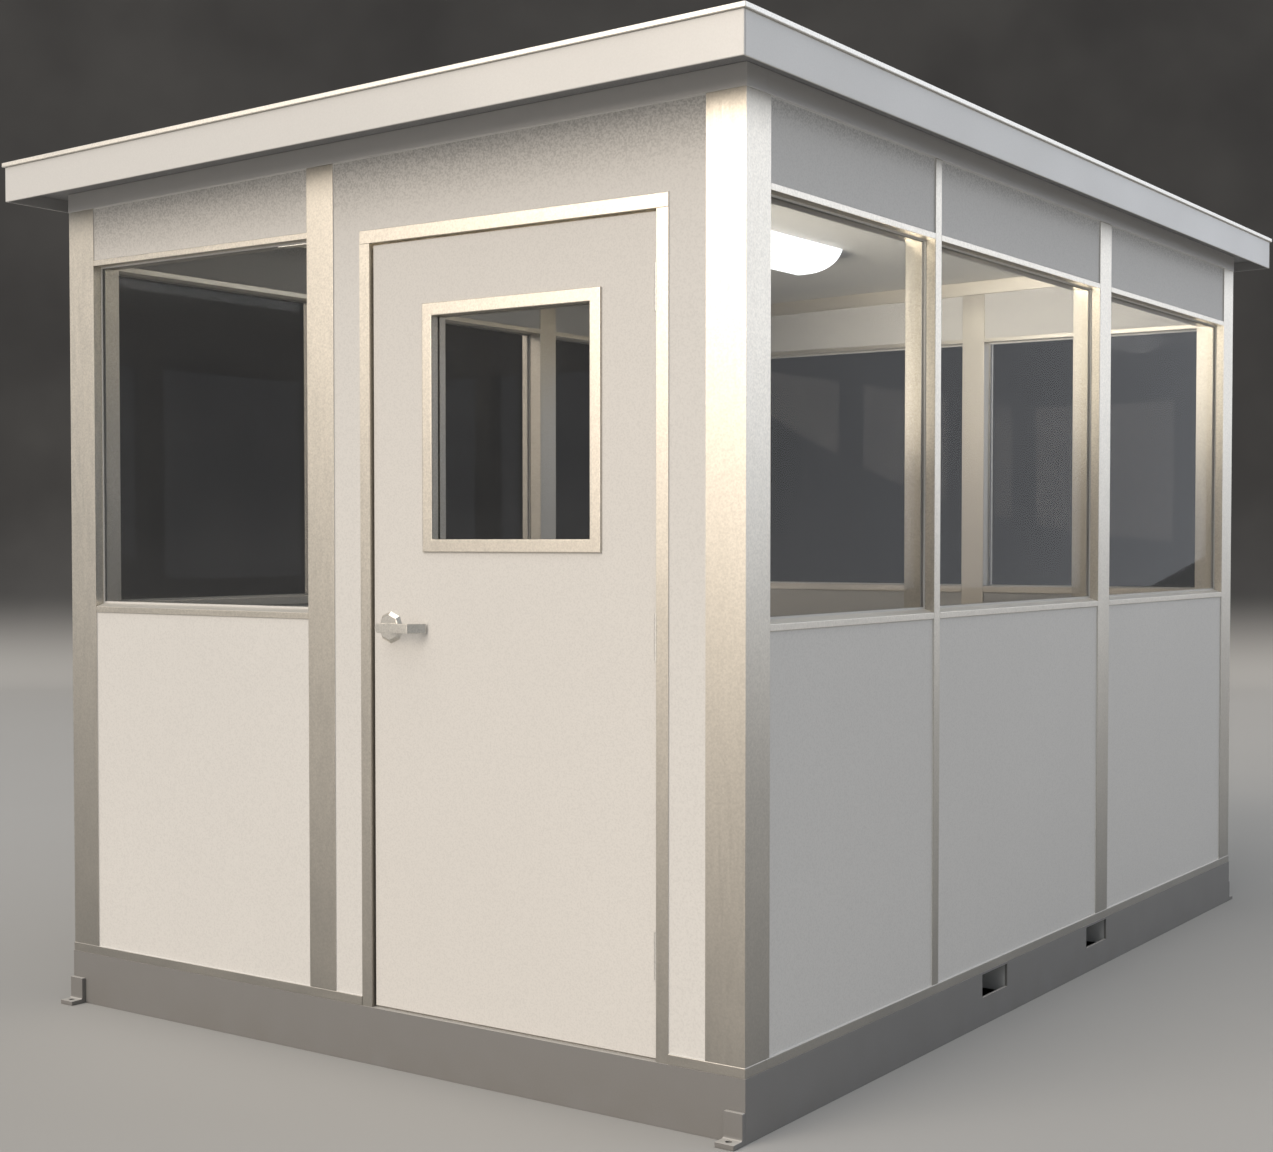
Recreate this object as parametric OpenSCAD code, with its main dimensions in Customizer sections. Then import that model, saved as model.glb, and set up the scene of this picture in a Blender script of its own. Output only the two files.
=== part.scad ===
// Prefabricated guard booth on a steel skid: panelled walls between aluminium posts, fixed windows,
// one out-swinging door with a lite, and a low-slope lid roof.
// Millimetres. +Z is up, the front wall with the door faces -Y and +X is to its right.
// The origin is on the ground under the middle of the booth.

/* [Overall] */
// Width across the front wall
booth_width = 2395; // [2355:5:2455]
// Length along the side walls
booth_length = 3594; // [3554:5:3694]
// Wall thickness, outside to inside
wall_thickness = 92; // [88:1:98]
// Height of the panel over the door frame at the high right-hand wall
over_door = 218; // [190:2:270]
// Fall of the roof across the width, per unit of width
roof_fall = 0.0213; // [0.005:0.0001:0.03]

/* [Base] */
// Height of the skid channels
base_height = 154; // [145:1:165]
// Width of a channel flange
base_flange = 51; // [45:1:60]
// Thickness of a channel web
base_web = 8; // [6:1:10]
// Thickness of channel flanges and of the floor plate
floor_plate = 6; // [5:0.5:8]
// How far the skid stands out past the posts
base_proud = 3; // [2.5:0.1:4]
// Clear width of a fork pocket
pocket_width = 177; // [160:1:190]
// Height above the ground of the fork opening's lower edge
pocket_sill = 80; // [70:1:90]
// Centre distance of the two fork pockets
pocket_spacing = 804; // [760:2:850]
// Thickness of a fork pocket's side plate
pocket_plate = 6; // [5:0.5:8]
// How far a side plate hangs below the fork opening
pocket_plate_drop = 15; // [10:1:25]
// Height of a floor joist
joist_height = 100; // [80:2:110]
// Width of a floor joist
joist_width = 60; // [40:2:70]
// Distance from a fork pocket to the next joist, and from that to the last
joist_pitch = 450; // [400:10:500]

/* [Anchor clips] */
// Width of a clip
clip_width = 53; // [46:1:60]
// Height of a clip's upright leg
clip_height = 76; // [65:1:85]
// Reach of a clip's foot past the base
clip_reach = 51; // [48:1:70]
// Thickness of a clip
clip_thickness = 12.5; // [8:0.5:14]
// Corner radius of a clip's foot and leg
clip_corner = 3; // [2:0.5:8]
// Fillet radius in the bend of a clip
clip_fillet = 6; // [4:0.5:9]
// Distance of a clip from the end of the base
clip_inset = 0; // [0:0.5:6]
// Diameter of the anchor hole
clip_hole = 16; // [12:1:20]
// Distance of the anchor hole from the base
clip_hole_reach = 30; // [26:1:34]

/* [Wall framing] */
// Height of the bottom track
track_height = 25; // [20:1:30]
// How far the tracks stand out past the posts
track_proud = 2; // [1:0.1:2.4]
// Height of the sloping top band
band_height = 55; // [45:1:65]
// Face width of a corner post
corner_post = 110; // [102:1:120]
// Face width of a middle post
mid_post = 98; // [90:1:106]
// Width of the narrow side mullion
narrow_mullion = 37; // [32:1:44]
// Width of the wide side mullion
wide_mullion = 100; // [90:1:110]
// Clear width of the first side window bay
side_bay_1 = 875; // [855:5:895]
// Clear width of the second side window bay
side_bay_2 = 1179; // [1159:5:1199]
// How far a panel lies behind the posts
panel_recess = 4; // [2:0.5:6]

/* [Windows] */
// Height of the window heads over the top of the door frame
head_rise = 15; // [5:1:30]
// Face height of a level window rail
rail_height = 17; // [14:0.5:20]
// Rise of the sloping sill from its face to the glass
sill_rise = 10; // [6:0.5:14]
// Clear height between the sill and the head rail at the glass
window_height = 1007; // [947:5:1037]
// How far the glass lies behind the posts
glass_recess = 31; // [26:0.5:36]
// Thickness of the glass
glass_thickness = 6; // [5:0.5:8]
// Face width of the gasket round a pane
gasket_width = 5; // [4:0.5:8]
// Thickness of the gasket's lip on each side of the glass
gasket_lip = 3; // [2:0.5:5]
// Depth of the gasket's groove that holds the glass
gasket_groove = 3; // [2:0.5:3.5]

/* [Roof] */
// Overhang past the side walls
eave_side = 91; // [80:1:110]
// Overhang past the front and rear walls
eave_end = 159; // [140:1:175]
// Thickness of the roof panel
roof_thickness = 68; // [60:1:80]
// How far the fascia hangs below the ceiling plane
fascia_lip = 34; // [26:1:40]
// Thickness of the fascia
fascia_thickness = 6; // [4:0.5:10]
// Thickness of the roof cap with its drip edge
cap_thickness = 13; // [10:0.5:16]
// Projection of the drip edge past the fascia
drip_edge = 7; // [5:0.5:10]

/* [Ceiling light] */
// Length of the light
light_length = 1266; // [1166:20:1366]
// Width of the light
light_width = 244; // [220:4:300]
// Depth of the light below the ceiling
light_depth = 90; // [70:1:100]

/* [Door] */
// Distance of the door opening from the near front corner
door_offset = 250; // [230:2:270]
// Clear width of the door opening
door_width = 920; // [880:2:930]
// Clear height of the door opening
door_height = 2036; // [1936:2:2086]
// Face width of the door frame
frame_face = 35; // [30:1:40]
// Height of the door stop
stop_height = 12; // [10:1:14]
// Distance from the door opening to the middle post
post_gap = 132; // [120:2:140]
// How far the leaf lies behind the frame's face
leaf_recess = 10; // [9:0.5:11]
// Thickness of the door leaf
leaf_thickness = 45; // [40:1:46]
// Gap around the leaf
leaf_gap = 5; // [4.5:0.1:5.5]
// Gap on the latch side
latch_gap = 6.5; // [6:0.1:8]
// Width of the lite's glass
lite_width = 506; // [480:2:530]
// Height of the lite's glass
lite_height = 578; // [550:2:600]
// Distance of the lite's glass below the top of the opening
lite_drop = 205; // [185:2:225]
// Shift of the lite from the middle of the leaf towards the hinges
lite_shift = 6; // [0:1:12]
// Face width of the lite frame
lite_face = 34; // [28:1:40]
// How far the lite frame stands out from the leaf
lite_proud = 6; // [4:0.5:6]
// Bevel on the lite frame's edges
lite_bevel = 1.5; // [1:0.5:3]

/* [Door hardware] */
// Lever spindle height above the base
lever_height = 1020; // [1000:5:1040]
// Across-corner diameter of the lock rose where it meets the leaf
rose_diameter = 87; // [80:1:90]
// Across-corner diameter of the rose's face
rose_face = 68; // [60:1:74]
// Depth of the lock rose
rose_depth = 9; // [7:0.5:11]
// Gap between the inner lock rose and the door stop
rose_clear = 9.5; // [5.5:0.5:12]
// Length of the lever's straight bar from the spindle to its bend
lever_straight = 101; // [95:1:106]
// Length of the lever from the spindle to the tip of its return
lever_length = 128; // [120:1:134]
// Height of the lever bar
lever_bar = 25; // [20:1:28]
// Thickness of the lever bar
lever_thickness = 11; // [8:0.5:13]
// Projection of the lever from the leaf
lever_reach = 51; // [46:1:56]
// Gap between the lever's return and the leaf
lever_tip_gap = 7; // [6.5:0.5:12]
// Radius of the lever spindle
spindle_radius = 9; // [7:0.5:10]
// Length of a hinge
hinge_length = 114; // [100:2:126]
// Height of the lowest hinge above the foot of the leaf
hinge_low = 250; // [200:5:300]
// Distance of the highest hinge below the top of the leaf
hinge_high = 180; // [150:5:220]
// Radius of a hinge pin
pin_radius = 3; // [2.5:0.1:3.2]
// Depth of a hinge leaf let in between the door and its frame
hinge_depth = 38; // [30:1:40]

/* [Hidden] */

// Clearance where a sloping face seats on another
slope_seat = 0.3;
// Clearance of a pane in its groove
glass_clear = 0.3;
// Clearance of a hinge knuckle from the jamb and the leaf
knuckle_clear = 0.19;
// Half sizes of the wall rectangle, at the outer faces of the posts
hx = booth_width / 2;
hy = booth_length / 2;
// Half sizes at the inner wall faces
ix = hx - wall_thickness;
iy = hy - wall_thickness;
// Half sizes of the skid
bx = hx + base_proud;
by = hy + base_proud;
deck_bottom = base_height - floor_plate;
track_top = base_height + track_height;
// Door levels and edges
opening_right = hx - door_offset;
opening_left = opening_right - door_width;
opening_top = base_height + door_height;
frame_right = opening_right + frame_face;
frame_left = opening_left - frame_face;
frame_top = opening_top + frame_face;
leaf_right = opening_right - leaf_gap;
leaf_left = opening_left + latch_gap;
leaf_bottom = base_height + leaf_gap;
leaf_top = opening_top - leaf_gap;
leaf_front = -hy + leaf_recess;
leaf_back = leaf_front + leaf_thickness;
stop_front = leaf_back + leaf_gap;
// Wall top at the outer face of the high right-hand wall
wall_top = frame_top + over_door + band_height;
// Window levels
head_top = frame_top + head_rise;
head_bottom = head_top - rail_height;
sill_top = head_bottom - window_height;
sill_bottom = sill_top - sill_rise - rail_height;
// Depths of the gasket in the window section, from the outer face
gasket_front = glass_recess - gasket_lip;
gasket_back = glass_recess + glass_thickness + gasket_lip;
// Lite opening in the leaf
lite_right = (leaf_left + leaf_right + lite_width) / 2 + lite_shift;
lite_left = lite_right - lite_width;
lite_high = opening_top - lite_drop;
lite_low = lite_high - lite_height;
liner = 8;
lite_groove = 5;
lite_edge = lite_groove - glass_clear;
lite_groove_front = (leaf_thickness - glass_thickness) / 2 - glass_clear;
lite_groove_back = (leaf_thickness + glass_thickness) / 2 + glass_clear;
// Hinge pin axis in the hinge-side gap
pin_x = opening_right - leaf_gap / 2;
pin_y = leaf_front - leaf_gap;
knuckle_radius = norm([leaf_gap / 2, leaf_gap]) - knuckle_clear;
hinge_levels = [leaf_bottom + hinge_low, (leaf_bottom + leaf_top) / 2, leaf_top - hinge_high];
// Lever spindle
spindle_x = opening_left + stop_height + rose_clear + rose_diameter / 2;
spindle_z = base_height + lever_height;
// Angle between the lever bar and its return
lever_slant = atan2(lever_reach - lever_tip_gap, lever_length - lever_straight);
// Middle posts and end window bays, as X positions; the rear wall is the front one turned half round
post_right = opening_left - post_gap;
post_left = post_right - mid_post;
front_bay = [-hx + corner_post, post_left];
rear_bays = [[-hx + corner_post, -post_right], [-post_left, hx - corner_post]];
// Side bays, as Y positions
bay_1_end = -hy + corner_post + side_bay_1;
bay_2_start = bay_1_end + narrow_mullion;
bay_2_end = bay_2_start + side_bay_2;
bay_3_start = bay_2_end + wide_mullion;
side_bays = [[-hy + corner_post, bay_1_end], [bay_2_start, bay_2_end], [bay_3_start, hy - corner_post]];
// Fork pockets, and the lengths of side rail before, between and after them
pocket_centres = [-pocket_spacing / 2, pocket_spacing / 2];
pocket_outer = (pocket_spacing + pocket_width) / 2;
pocket_inner = (pocket_spacing - pocket_width) / 2;
rail_runs = [[-by + base_flange, -pocket_outer], [-pocket_inner, pocket_inner],
    [pocket_outer, by - base_flange]];
joist_places = [0, pocket_spacing / 2 + joist_pitch, pocket_spacing / 2 + 2 * joist_pitch];
// Roof outlines
rx = hx + eave_side;
ry = hy + eave_end;
slope_angle = atan(roof_fall);
// Radius of the light's belly from its width and depth
belly_radius = (pow(light_width / 2, 2) + pow(light_depth, 2)) / (2 * light_depth);
$fn = 48;

// Height of the sloping wall-top plane at x
function top_z(x) = wall_top - roof_fall * (hx - x);

// Box between two corners
module block(x0, x1, y0, y1, z0, z1) {
    translate([x0, y0, z0]) cube([x1 - x0, y1 - y0, z1 - z0]);
}

// Section in Y and Z drawn out along X
module along_x(x0, x1) {
    translate([x0, 0, 0]) rotate([90, 0, 90]) linear_extrude(x1 - x0) children();
}

// Section in X and Z drawn out along Y
module along_y(y0, y1) {
    translate([0, y1, 0]) rotate([90, 0, 0]) linear_extrude(y1 - y0) children();
}

// Plan in X and Y drawn up along Z
module along_z(z0, z1) {
    translate([0, 0, z0]) linear_extrude(z1 - z0) children();
}

// Box with a level bottom and a top cut a set drop below the sloping plane
module under_slope(x0, x1, y0, y1, z0, drop) {
    along_y(y0, y1) polygon([[x0, z0], [x1, z0], [x1, top_z(x1) - drop], [x0, top_z(x0) - drop]]);
}

// Slab parallel to the sloping plane, from rise low to rise high
module on_slope(x0, x1, y0, y1, low, high) {
    along_y(y0, y1) polygon([
        [x0, top_z(x0) + low], [x1, top_z(x1) + low],
        [x1, top_z(x1) + high], [x0, top_z(x0) + high]
    ]);
}

// Wall piece from a plan or a level z0, cut to seat under the top band
module wall_piece(x0, x1, y0, y1, z0) under_slope(x0, x1, y0, y1, z0, band_height + slope_seat);

// Front piece and its twin at the rear
module both_ends() {
    children();
    mirror([0, 1, 0]) children();
}

// Right-hand piece and its twin on the left; only for level pieces
module both_sides() {
    children();
    mirror([1, 0, 0]) children();
}

// One member of a mitred ring: a section in depth and outward height, below an edge at Z = 0
module ring_member(span, reach, front, back) intersection() {
    along_x(-span / 2 - reach, span / 2 + reach) mirror([0, 1]) children();
    along_y(front - 1, back + 1) polygon([
        [-span / 2, 0], [span / 2, 0], [span / 2 + reach, -reach], [-span / 2 - reach, -reach]
    ]);
}

// Four members mitred round an opening of the given width and height
module mitred_ring(width, height, reach, front, back) for (half_turn = [0, 180])
    rotate([0, half_turn, 0]) {
        translate([0, 0, -height / 2]) ring_member(width, reach, front, back) children();
        rotate([0, 90, 0]) translate([0, 0, -width / 2])
            ring_member(height, reach, front, back) children();
    }

// Base

// Channel on its edge with its back at bx
module channel_section() polygon([
    [bx - base_flange, 0], [bx, 0], [bx, base_height], [bx - base_flange, base_height],
    [bx - base_flange, deck_bottom], [bx - base_web, deck_bottom],
    [bx - base_web, floor_plate], [bx - base_flange, floor_plate]
]);

module base_side_rails() color("dimgray") both_sides()
    for (run = rail_runs) along_y(run[0], run[1]) channel_section();

// End channels with plates welded into their open ends
module base_end_rails() color("dimgray") both_ends() difference() {
    block(-bx, bx, -by, -by + base_flange, 0, base_height);
    block(-bx + base_web, bx - base_web, -by + base_web, -by + base_flange + 1, floor_plate, deck_bottom);
}

// What is left of the side channel below and above a fork opening
module pocket_bridges() color("dimgray") both_sides()
    for (y = pocket_centres) along_y(y - pocket_width / 2, y + pocket_width / 2) {
        intersection() {
            channel_section();
            translate([bx - base_flange, 0]) square([base_flange, pocket_sill]);
        }
        intersection() {
            channel_section();
            translate([bx - base_flange, deck_bottom]) square([base_flange, floor_plate]);
        }
    }

module fork_pocket_plates() color("gray")
    for (y = pocket_centres, side = [-1, 1])
        translate([0, y + side * (pocket_width + pocket_plate) / 2, 0])
            block(-bx + base_web, bx - base_web, -pocket_plate / 2, pocket_plate / 2,
                pocket_sill - pocket_plate_drop, deck_bottom);

module floor_joists() color("gray") for (y = joist_places, side = (y > 0) ? [-1, 1] : [1])
    translate([0, side * y, 0]) block(-bx + base_web, bx - base_web, -joist_width / 2, joist_width / 2,
        deck_bottom - joist_height, deck_bottom);

module floor_deck() color("slategray")
    block(-bx + base_flange, bx - base_flange, -by + base_flange, by - base_flange,
        deck_bottom, base_height);

// Strip with two rounded corners at its far end
module tongue(reach) {
    translate([-clip_width / 2, 0]) square([clip_width, reach - clip_corner]);
    translate([-clip_width / 2 + clip_corner, 0]) square([clip_width - 2 * clip_corner, reach]);
    for (side = [-1, 1]) translate([side * (clip_width / 2 - clip_corner), reach - clip_corner])
        circle(r = clip_corner);
}

module anchor_clips() color("gray") both_sides() both_ends()
    translate([bx - clip_inset - clip_width / 2, -by, 0]) difference() {
        union() {
            rotate([90, 0, 0]) linear_extrude(clip_thickness) tongue(clip_height);
            rotate([0, 0, 180]) linear_extrude(clip_thickness) tongue(clip_reach);
            along_x(-clip_width / 2, clip_width / 2) translate([-clip_thickness, clip_thickness])
                mirror([1, 0]) difference() {
                    square(clip_fillet);
                    translate([clip_fillet, clip_fillet]) circle(r = clip_fillet);
                }
        }
        translate([0, -clip_hole_reach, -1]) cylinder(h = clip_thickness + 2, d = clip_hole);
    }

// Wall framing

module bottom_track_ends() color("silver") {
    block(frame_right, hx + track_proud, -hy - track_proud, -iy, base_height, track_top);
    block(-hx - track_proud, frame_left, -hy - track_proud, -iy, base_height, track_top);
    block(-hx - track_proud, hx + track_proud, iy, hy + track_proud, base_height, track_top);
}

module bottom_track_sides() color("silver") both_sides()
    block(ix, hx + track_proud, -iy, iy, base_height, track_top);

// Angle-shaped corner post from two legs as deep as the wall
module corner_posts() color("gainsboro") both_ends() {
    wall_piece(hx - corner_post, hx, -hy, -iy, track_top);
    wall_piece(ix, hx, -hy, -hy + corner_post, track_top);
    wall_piece(-hx, -hx + corner_post, -hy, -iy, track_top);
    wall_piece(-hx, -ix, -hy, -hy + corner_post, track_top);
}

module front_mid_post() color("gainsboro") wall_piece(post_left, post_right, -hy, -iy, track_top);

module rear_mid_post() color("gainsboro") wall_piece(-post_right, -post_left, iy, hy, track_top);

module side_mullions(x0, x1) {
    wall_piece(x0, x1, bay_1_end, bay_2_start, track_top);
    wall_piece(x0, x1, bay_2_end, bay_3_start, track_top);
}

module side_mullions_right() color("gainsboro") side_mullions(ix, hx);

module side_mullions_left() color("gainsboro") side_mullions(-hx, -ix);

module top_band_ends() color("darkgray") both_ends()
    on_slope(-hx - track_proud, hx + track_proud, -hy - track_proud, -iy, -band_height, 0);

module top_band_sides() color("darkgray") {
    on_slope(ix, hx + track_proud, -iy, iy, -band_height, 0);
    on_slope(-hx - track_proud, -ix, -iy, iy, -band_height, 0);
}

// Panels

panel_out = panel_recess;
panel_in = wall_thickness - panel_recess;

module front_lower_panel() color("antiquewhite")
    block(front_bay[0], front_bay[1], -hy + panel_out, -hy + panel_in, track_top, sill_bottom);

module front_upper_panel() color("antiquewhite")
    wall_piece(front_bay[0], front_bay[1], -hy + panel_out, -hy + panel_in, head_top);

module door_side_panels() color("antiquewhite") {
    block(frame_right, hx - corner_post, -hy + panel_out, -hy + panel_in, track_top, frame_top);
    block(post_right, frame_left, -hy + panel_out, -hy + panel_in, track_top, frame_top);
}

module door_over_panel() color("antiquewhite")
    wall_piece(post_right, hx - corner_post, -hy + panel_out, -hy + panel_in, frame_top);

module side_lower_panels() color("antiquewhite") both_sides()
    for (bay = side_bays)
        block(hx - panel_in, hx - panel_out, bay[0], bay[1], track_top, sill_bottom);

module side_upper_panels() color("antiquewhite")
    for (bay = side_bays) {
        wall_piece(hx - panel_in, hx - panel_out, bay[0], bay[1], head_top);
        wall_piece(-hx + panel_out, -hx + panel_in, bay[0], bay[1], head_top);
    }

module rear_lower_panels() color("antiquewhite")
    for (bay = rear_bays)
        block(bay[0], bay[1], hy - panel_in, hy - panel_out, track_top, sill_bottom);

module rear_upper_panels() color("antiquewhite")
    for (bay = rear_bays) wall_piece(bay[0], bay[1], hy - panel_in, hy - panel_out, head_top);

// Windows; drawn once along X with the outer face at Y = 0, then turned onto each wall

// Sill in section: level inside, sloping down from the glass to the outer face
module sill_section() polygon([
    [0, 0], [wall_thickness, 0], [wall_thickness, rail_height + sill_rise],
    [gasket_front, rail_height + sill_rise], [0, rail_height]
]);

module bay_rails(bay) {
    along_x(bay[0], bay[1]) translate([0, sill_bottom]) sill_section();
    block(bay[0], bay[1], 0, wall_thickness, head_bottom, head_top);
}

// Gasket in section, from the outer face and from its edge over the glass
module gasket_section() difference() {
    translate([gasket_front, 0]) square([gasket_back - gasket_front, gasket_width]);
    translate([glass_recess - glass_clear, -1])
        square([glass_thickness + 2 * glass_clear, gasket_groove + 1]);
}

module bay_gasket(bay)
    translate([(bay[0] + bay[1]) / 2, 0, (sill_top + head_bottom) / 2])
        mitred_ring(bay[1] - bay[0] - 2 * gasket_width, window_height - 2 * gasket_width,
            gasket_width, gasket_front, gasket_back) gasket_section();

module bay_pane(bay) {
    edge = gasket_width - gasket_groove + glass_clear;
    block(bay[0] + edge, bay[1] - edge, glass_recess, glass_recess + glass_thickness,
        sill_top + edge, head_bottom - edge);
}

module on_front() translate([0, -hy, 0]) children();

module on_rear() mirror([0, 1, 0]) on_front() children();

module on_right() rotate([0, 0, 90]) translate([0, -hx, 0]) children();

module on_left() mirror([1, 0, 0]) on_right() children();

module end_window_rails() color("lightgray") {
    on_front() bay_rails(front_bay);
    on_rear() for (bay = rear_bays) bay_rails(bay);
}

module side_window_rails() color("lightgray") both_sides() on_right()
    for (bay = side_bays) bay_rails(bay);

module end_gaskets() color("dimgray") {
    on_front() bay_gasket(front_bay);
    on_rear() for (bay = rear_bays) bay_gasket(bay);
}

module side_gaskets() color("dimgray") both_sides() on_right()
    for (bay = side_bays) bay_gasket(bay);

module front_glass() color("lightblue") on_front() bay_pane(front_bay);

module right_glass() color("lightblue") on_right() for (bay = side_bays) bay_pane(bay);

module left_glass() color("lightblue") on_left() for (bay = side_bays) bay_pane(bay);

module rear_glass() color("lightblue") on_rear() for (bay = rear_bays) bay_pane(bay);

// Roof

module roof_panel() color("gray")
    on_slope(-rx + fascia_thickness, rx - fascia_thickness,
        -ry + fascia_thickness, ry - fascia_thickness, slope_seat, roof_thickness);

module fascia_ends() color("whitesmoke") both_ends()
    on_slope(-rx, rx, -ry, -ry + fascia_thickness, -fascia_lip, roof_thickness);

module fascia_sides() color("whitesmoke") {
    on_slope(rx - fascia_thickness, rx, -ry + fascia_thickness, ry - fascia_thickness,
        -fascia_lip, roof_thickness);
    on_slope(-rx, -rx + fascia_thickness, -ry + fascia_thickness, ry - fascia_thickness,
        -fascia_lip, roof_thickness);
}

module roof_cap() color("white")
    on_slope(-rx - drip_edge, rx + drip_edge, -ry - drip_edge, ry + drip_edge,
        roof_thickness + slope_seat, roof_thickness + cap_thickness);

// Round-bellied light with rounded ends, hung square to the sloping ceiling
module ceiling_light() color("white")
    translate([0, 0, top_z(0)]) rotate([0, -slope_angle, 0]) intersection() {
        rotate([90, 0, 0]) linear_extrude(light_length, center = true) intersection() {
            translate([0, belly_radius - light_depth]) circle(r = belly_radius);
            translate([-light_width / 2, -light_depth]) square([light_width, light_depth]);
        }
        rotate([90, 0, 90]) linear_extrude(light_width, center = true) {
            translate([-light_length / 2 + light_depth, -light_depth])
                square([light_length - 2 * light_depth, light_depth]);
            for (end = [-1, 1]) intersection() {
                translate([end * (light_length / 2 - light_depth), 0]) circle(r = light_depth);
                translate([end * (light_length / 2 - light_depth / 2), -light_depth / 2])
                    square(light_depth, center = true);
            }
        }
    }

// Door frame

// Pressed frame in plan at the hinge side: face, rebate for the leaf and stop
module jamb_section() polygon([
    [opening_right, -hy], [frame_right, -hy], [frame_right, -iy],
    [opening_right - stop_height, -iy], [opening_right - stop_height, stop_front],
    [opening_right, stop_front]
]);

module door_jambs() color("darkgray") {
    difference() {
        along_z(base_height, opening_top) jamb_section();
        for (z = hinge_levels) translate([pin_x, pin_y, z - hinge_length / 2 - 1])
            cylinder(h = hinge_length + 2, r = knuckle_radius + knuckle_clear * 3);
    }
    along_z(base_height, opening_top) translate([opening_left + opening_right, 0]) mirror([1, 0])
        jamb_section();
}

module door_head() color("darkgray") {
    block(frame_left, frame_right, -hy, -iy, opening_top, frame_top);
    block(opening_left + stop_height, opening_right - stop_height, stop_front, -iy,
        opening_top - stop_height, frame_top);
}

// Hinges; end knuckles and pin stay with the frame, the middle knuckle swings with the leaf

plate_thickness = leaf_gap / 2 - 0.2;
knuckle_length = hinge_length / 3;

module hinges_frame() color("silver") for (z = hinge_levels)
    translate([pin_x, pin_y, z]) {
        translate([leaf_gap / 2 - plate_thickness, knuckle_radius + 0.6, -hinge_length / 2])
            cube([plate_thickness, hinge_depth, hinge_length]);
        for (end = [-1, 1]) translate([0, 0, end * knuckle_length - knuckle_length / 2]) {
            cylinder(h = knuckle_length, r = knuckle_radius);
            translate([leaf_gap / 2 - plate_thickness, 0, 0])
                cube([plate_thickness, knuckle_radius + 1, knuckle_length]);
        }
        translate([0, 0, -hinge_length / 2]) cylinder(h = hinge_length, r = pin_radius);
    }

module hinges_door() color("silver") for (z = hinge_levels)
    translate([pin_x, pin_y, z]) difference() {
        union() {
            translate([-leaf_gap / 2, knuckle_radius + 0.6, -hinge_length / 2])
                cube([plate_thickness, hinge_depth, hinge_length]);
            translate([0, 0, -knuckle_length / 2 + 0.4])
                cylinder(h = knuckle_length - 0.8, r = knuckle_radius);
            translate([-leaf_gap / 2, 0, -knuckle_length / 2 + 0.4])
                cube([plate_thickness, knuckle_radius + 1, knuckle_length - 0.8]);
        }
        translate([0, 0, -hinge_length / 2 - 1]) cylinder(h = hinge_length + 2, r = pin_radius + 0.05);
    }

// Door leaf

module door_leaf() color("antiquewhite") difference() {
    block(leaf_left, leaf_right, leaf_front, leaf_back, leaf_bottom, leaf_top);
    block(lite_left - liner, lite_right + liner, leaf_front - 1, leaf_back + 1,
        lite_low - liner, lite_high + liner);
    translate([spindle_x, leaf_front - 1, spindle_z]) rotate([-90, 0, 0])
        cylinder(h = leaf_thickness + 2, r = spindle_radius + 1);
}

// Lite frame in section: a liner through the leaf, grooved for the glass, with a bevelled face at each end
module lite_section() polygon([
    [-lite_proud, lite_bevel], [-lite_proud, lite_face - lite_bevel],
    [-lite_proud + lite_bevel, lite_face], [0, lite_face], [0, liner],
    [leaf_thickness, liner], [leaf_thickness, lite_face],
    [leaf_thickness + lite_proud - lite_bevel, lite_face],
    [leaf_thickness + lite_proud, lite_face - lite_bevel], [leaf_thickness + lite_proud, lite_bevel],
    [leaf_thickness + lite_proud - lite_bevel, 0],
    [lite_groove_back, 0], [lite_groove_back, lite_groove],
    [lite_groove_front, lite_groove], [lite_groove_front, 0],
    [-lite_proud + lite_bevel, 0]
]);

module door_lite_frame() color("antiquewhite")
    translate([(lite_left + lite_right) / 2, leaf_front, (lite_low + lite_high) / 2])
        mitred_ring(lite_width, lite_height, lite_face, -lite_proud, leaf_thickness + lite_proud)
            lite_section();

module door_glass() color("lightblue")
    block(lite_left - lite_edge, lite_right + lite_edge,
        leaf_front + lite_groove_front + glass_clear, leaf_front + lite_groove_back - glass_clear,
        lite_low - lite_edge, lite_high + lite_edge);

// Eight-sided rose tapering to its face; the bore clears the spindle
module rose(y, turn) translate([spindle_x, y, spindle_z]) rotate([turn, 0, 0]) difference() {
    cylinder(h = rose_depth, d1 = rose_diameter, d2 = rose_face, $fn = 8);
    translate([0, 0, -1]) cylinder(h = rose_depth + 2, r = spindle_radius + 1);
}

module lock_roses() color("silver") {
    rose(leaf_front, 90);
    rose(leaf_back, -90);
}

// Lever in plan, in front of a face at Y = 0: straight bar and a slanted return towards the leaf
module lever_plan() polygon([
    [0, -lever_reach], [lever_straight, -lever_reach], [lever_length, -lever_tip_gap],
    [lever_length - lever_thickness / sin(lever_slant), -lever_tip_gap],
    [lever_straight - lever_thickness * tan(lever_slant / 2), lever_thickness - lever_reach],
    [0, lever_thickness - lever_reach]
]);

module lever_arm() {
    along_z(-lever_bar / 2, lever_bar / 2) lever_plan();
    translate([0, lever_thickness - lever_reach, 0]) rotate([90, 0, 0])
        cylinder(h = lever_thickness, d = lever_bar);
}

module door_lever() color("silver") translate([spindle_x, 0, spindle_z]) {
    translate([0, leaf_front - lever_reach + 2, 0]) rotate([-90, 0, 0])
        cylinder(h = leaf_thickness + 2 * lever_reach - 4, r = spindle_radius);
    translate([0, leaf_front, 0]) lever_arm();
    translate([0, leaf_back, 0]) mirror([0, 1, 0]) lever_arm();
}

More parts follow.
